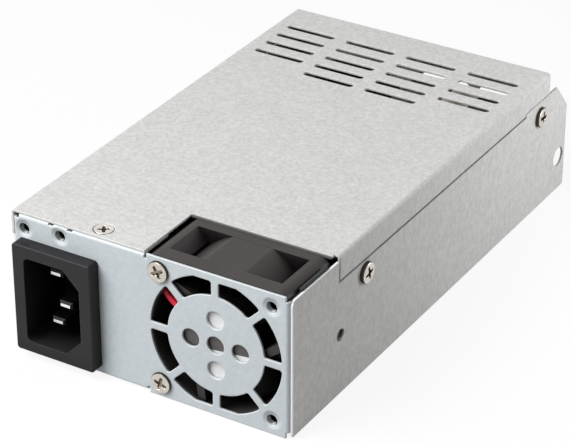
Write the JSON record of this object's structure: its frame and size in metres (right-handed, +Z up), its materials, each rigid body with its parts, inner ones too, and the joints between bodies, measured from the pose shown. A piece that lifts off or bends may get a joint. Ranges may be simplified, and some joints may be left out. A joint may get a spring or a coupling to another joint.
{
  "type": "computer power supply unit",
  "caption": "Slim galvanised steel power supply unit for servers, with a mains inlet, a small fan behind a stamped grille, vents in the lid and a fixing ear at the rear.",
  "frame": {"origin": "bottom centre of the bounding box", "axes": "+Y from the mains inlet and fan end towards the cable exit, +Z up, +X to the right seen from the inlet end"},
  "size_m": [0.0842, 0.1536, 0.0405],
  "materials": {
    "galvanised_sheet": "galvanised sheet with a fine mottled grain",
    "panel_sheet": "bluish zinc-plated sheet",
    "nickel_screw": "nickel-plated, slightly warm",
    "black_moulding": "satin black moulding",
    "fan_moulding": "black glass-filled moulding",
    "grey_rubber": "soft black",
    "clear_film": "thin cloudy film",
    "brass_pin": "nickel-plated brass",
    "brown_lead": "insulated lead",
    "blue_lead": "insulated lead",
    "green_lead": "insulated lead",
    "red_lead": "insulated lead",
    "black_lead": "insulated lead",
    "foil_label": "plain silver foil",
    "sintered_bronze": "sintered, oiled",
    "shaft_steel": "ground",
    "core_steel": "varnished laminations",
    "copper_wire": "enamelled copper wire",
    "magnet": "bonded ferrite ring",
    "white_connector": "off-white nylon",
    "green_board": "glass-epoxy board with green lacquer",
    "tinned_brass": "tinned",
    "green_core": "lacquered powder core",
    "yellow_core": "lacquered powder core",
    "ferrite": "dull ferrite",
    "yellow_box": "glossy case",
    "blue_coat": "dipped coat",
    "dark_coat": "dipped coat",
    "fuse_glass": "glass tube with nickel caps",
    "black_epoxy": "moulded epoxy",
    "capacitor_sleeve": "aluminium can in a dark sleeve",
    "sink_aluminium": "extruded, mill finish",
    "cream_tape": "polyester tape"
  },
  "bodies": {
    "case": {"base_chassis": "galvanised_sheet", "front_panel": "panel_sheet", "top_cover": "galvanised_sheet", "cover_top_screw": "nickel_screw", "cover_side_screws": "nickel_screw", "fan_screws": "nickel_screw", "cable_bush": "grey_rubber", "insulation_film": "clear_film", "inlet_housing": "black_moulding", "line_pin": "brass_pin", "neutral_pin": "brass_pin", "earth_pin": "brass_pin", "line_lead": "brown_lead", "neutral_lead": "blue_lead", "earth_lead": "green_lead", "earth_lug": "tinned_brass", "earth_screw": "nickel_screw", "fan_frame": "fan_moulding", "fan_label": "foil_label", "fan_bearing": "sintered_bronze", "fan_board": "green_board", "fan_stator": "core_steel", "fan_windings": "copper_wire", "fan_lead_red": "red_lead", "fan_lead_black": "black_lead", "fan_plug": "white_connector", "fan_header": "white_connector", "main_board": "green_board", "board_standoffs": "tinned_brass", "board_screws": "nickel_screw", "filter_core": "green_core", "filter_windings": "copper_wire", "filter_base": "black_moulding", "x_capacitor": "yellow_box", "y_capacitors": "blue_coat", "thermistor": "dark_coat", "mains_fuse": "fuse_glass", "fuse_clips": "tinned_brass", "bridge_rectifier": "black_epoxy", "bulk_capacitor": "capacitor_sleeve", "pfc_core": "yellow_core", "pfc_winding": "copper_wire", "primary_heatsink": "sink_aluminium", "secondary_heatsink": "sink_aluminium", "primary_transistors": "black_epoxy", "output_rectifiers": "black_epoxy", "device_screws": "nickel_screw", "transformer_core": "ferrite", "transformer_tape": "cream_tape", "transformer_winding": "cream_tape", "transformer_bobbin": "black_moulding", "standby_transformer": "cream_tape", "output_choke_core": "yellow_core", "output_choke_winding": "copper_wire", "output_capacitors": "capacitor_sleeve", "control_board": "green_board", "control_chips": "black_epoxy"},
    "fan_rotor": {"fan_impeller": "fan_moulding", "fan_magnet": "magnet", "fan_shaft": "shaft_steel"}
  },
  "joints": [
    {"name": "fan_spin", "type": "hinge", "parent": "case", "child": "fan_rotor", "pos_m": [0.01935, -0.06245, 0.02025], "axis": [0, 1, 0], "continuous": true}
  ]
}
